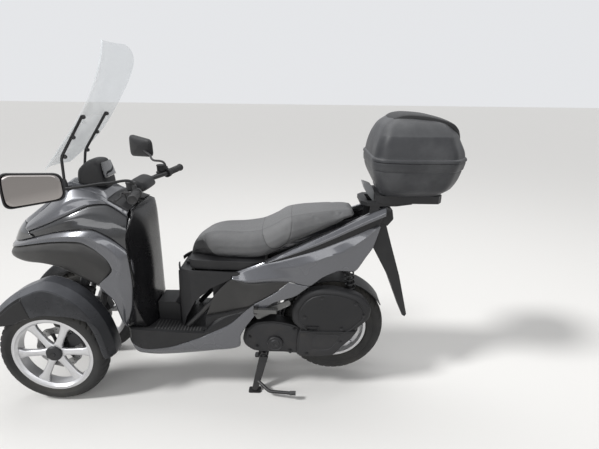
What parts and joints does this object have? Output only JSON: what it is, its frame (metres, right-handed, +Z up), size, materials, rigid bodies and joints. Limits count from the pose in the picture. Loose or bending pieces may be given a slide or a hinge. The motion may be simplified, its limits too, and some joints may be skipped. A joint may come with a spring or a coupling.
{
  "type": "three-wheeled motor scooter",
  "caption": "Leaning motor scooter with two steered wheels in front, a tall clear screen, a stepped seat and a top box, standing on its centre stand.",
  "frame": {"origin": "middle of the whole object's box, on the ground", "axes": "+X towards the rear, +Y towards the rider's right, +Z up"},
  "size_m": [2.0979, 1.116, 1.612],
  "materials": {
    "graphite_paint": "gloss metallic",
    "dark_paint": "gloss metallic",
    "black_plastic": "grained matte",
    "box_plastic": "grained matte",
    "black_steel": "satin",
    "tyre": "matte",
    "rim": "silver paint",
    "engine_metal": "cast, dark",
    "seat_cover": "grained",
    "lamp_lens": "dark gloss",
    "red_lens": "gloss",
    "clear_sheet": "clear, slightly smoked",
    "exhaust_metal": "satin black",
    "grip_rubber": "matte"
  },
  "bodies": {
    "chassis": {"lean_linkage": "black_steel", "frame": "black_steel", "seat_rails": "black_steel", "front_cowl": "dark_paint", "nose_panel": "dark_paint", "headlamp": "lamp_lens", "brow": "graphite_paint", "arch_panel": "black_plastic", "leg_shield": "black_plastic", "floorboard": "black_plastic", "seat_base": "black_plastic", "side_panels": "graphite_paint", "side_insets": "black_plastic", "tail_lamp": "red_lens", "rear_mudguard": "black_plastic", "engine": "engine_metal", "transmission_case": "engine_metal", "airbox": "black_plastic", "swing_arm": "black_steel", "exhaust": "exhaust_metal", "rear_shocks": "black_steel", "carrier": "black_plastic", "box_base": "box_plastic", "instrument": "black_plastic", "windscreen": "clear_sheet", "screen_stays": "black_steel"},
    "steering": {"handlebar": "black_steel", "controls": "black_plastic", "grips": "grip_rubber", "mirrors": "black_plastic"},
    "fork_left_body": {"fork_left": "black_steel", "front_mudguard_left": "black_plastic"},
    "fork_right_body": {"fork_right": "black_steel", "front_mudguard_right": "black_plastic"},
    "front_wheel_left": {"front_tyre_left": "tyre", "front_rim_left": "rim"},
    "front_wheel_right": {"front_tyre_right": "tyre", "front_rim_right": "rim"},
    "rear_wheel": {"rear_tyre": "tyre", "rear_rim": "rim"},
    "stand": {"centre_stand": "black_steel"},
    "seat_body": {"seat": "seat_cover"},
    "lid": {"box_lid": "box_plastic"},
    "peg_left": {"footpeg_left": "black_steel"},
    "peg_right": {"footpeg_right": "black_steel"}
  },
  "joints": [
    {"name": "steering", "type": "hinge", "parent": "chassis", "child": "steering", "pos_m": [-0.46182, 0, 0.8], "axis": [0.342, 0, 0.9397], "range_deg": [-32, 32]},
    {"name": "fork_left_turn", "type": "hinge", "parent": "chassis", "child": "fork_left_body", "pos_m": [-0.62934, -0.104, 0.62], "axis": [0.342, 0, 0.9397], "range_deg": [-32, 32]},
    {"name": "fork_right_turn", "type": "hinge", "parent": "chassis", "child": "fork_right_body", "pos_m": [-0.62934, 0.104, 0.62], "axis": [0.342, 0, 0.9397], "range_deg": [-32, 32]},
    {"name": "front_wheel_left_spin", "type": "hinge", "parent": "fork_left_body", "child": "front_wheel_left", "pos_m": [-0.787, -0.1925, 0.25], "axis": [0, 1, 0], "continuous": true},
    {"name": "front_wheel_right_spin", "type": "hinge", "parent": "fork_right_body", "child": "front_wheel_right", "pos_m": [-0.787, 0.1925, 0.25], "axis": [0, 1, 0], "continuous": true},
    {"name": "rear_wheel_spin", "type": "hinge", "parent": "chassis", "child": "rear_wheel", "pos_m": [0.523, 0, 0.306], "axis": [0, 1, 0], "continuous": true},
    {"name": "centre_stand", "type": "hinge", "parent": "chassis", "child": "stand", "pos_m": [0.181, 0, 0.172], "axis": [0, -1, 0], "range_deg": [0, 70]},
    {"name": "seat_hinge", "type": "hinge", "parent": "chassis", "child": "seat_body", "pos_m": [-0.165, 0, 0.64], "axis": [0, -1, 0], "range_deg": [0, 60]},
    {"name": "box_lid_hinge", "type": "hinge", "parent": "chassis", "child": "lid", "pos_m": [0.643, 0, 1.158], "axis": [0, -1, 0], "range_deg": [0, 75]},
    {"name": "footpeg_left_fold", "type": "hinge", "parent": "chassis", "child": "peg_left", "pos_m": [0.155, -0.186, 0.476], "axis": [0, 0, -1], "range_deg": [0, 85]},
    {"name": "footpeg_right_fold", "type": "hinge", "parent": "chassis", "child": "peg_right", "pos_m": [0.155, 0.186, 0.476], "axis": [0, 0, 1], "range_deg": [0, 85]}
  ],
  "couplings": [
    {"joint": "fork_left_turn", "follows": "steering", "ratio": 1},
    {"joint": "fork_right_turn", "follows": "steering", "ratio": 1}
  ]
}
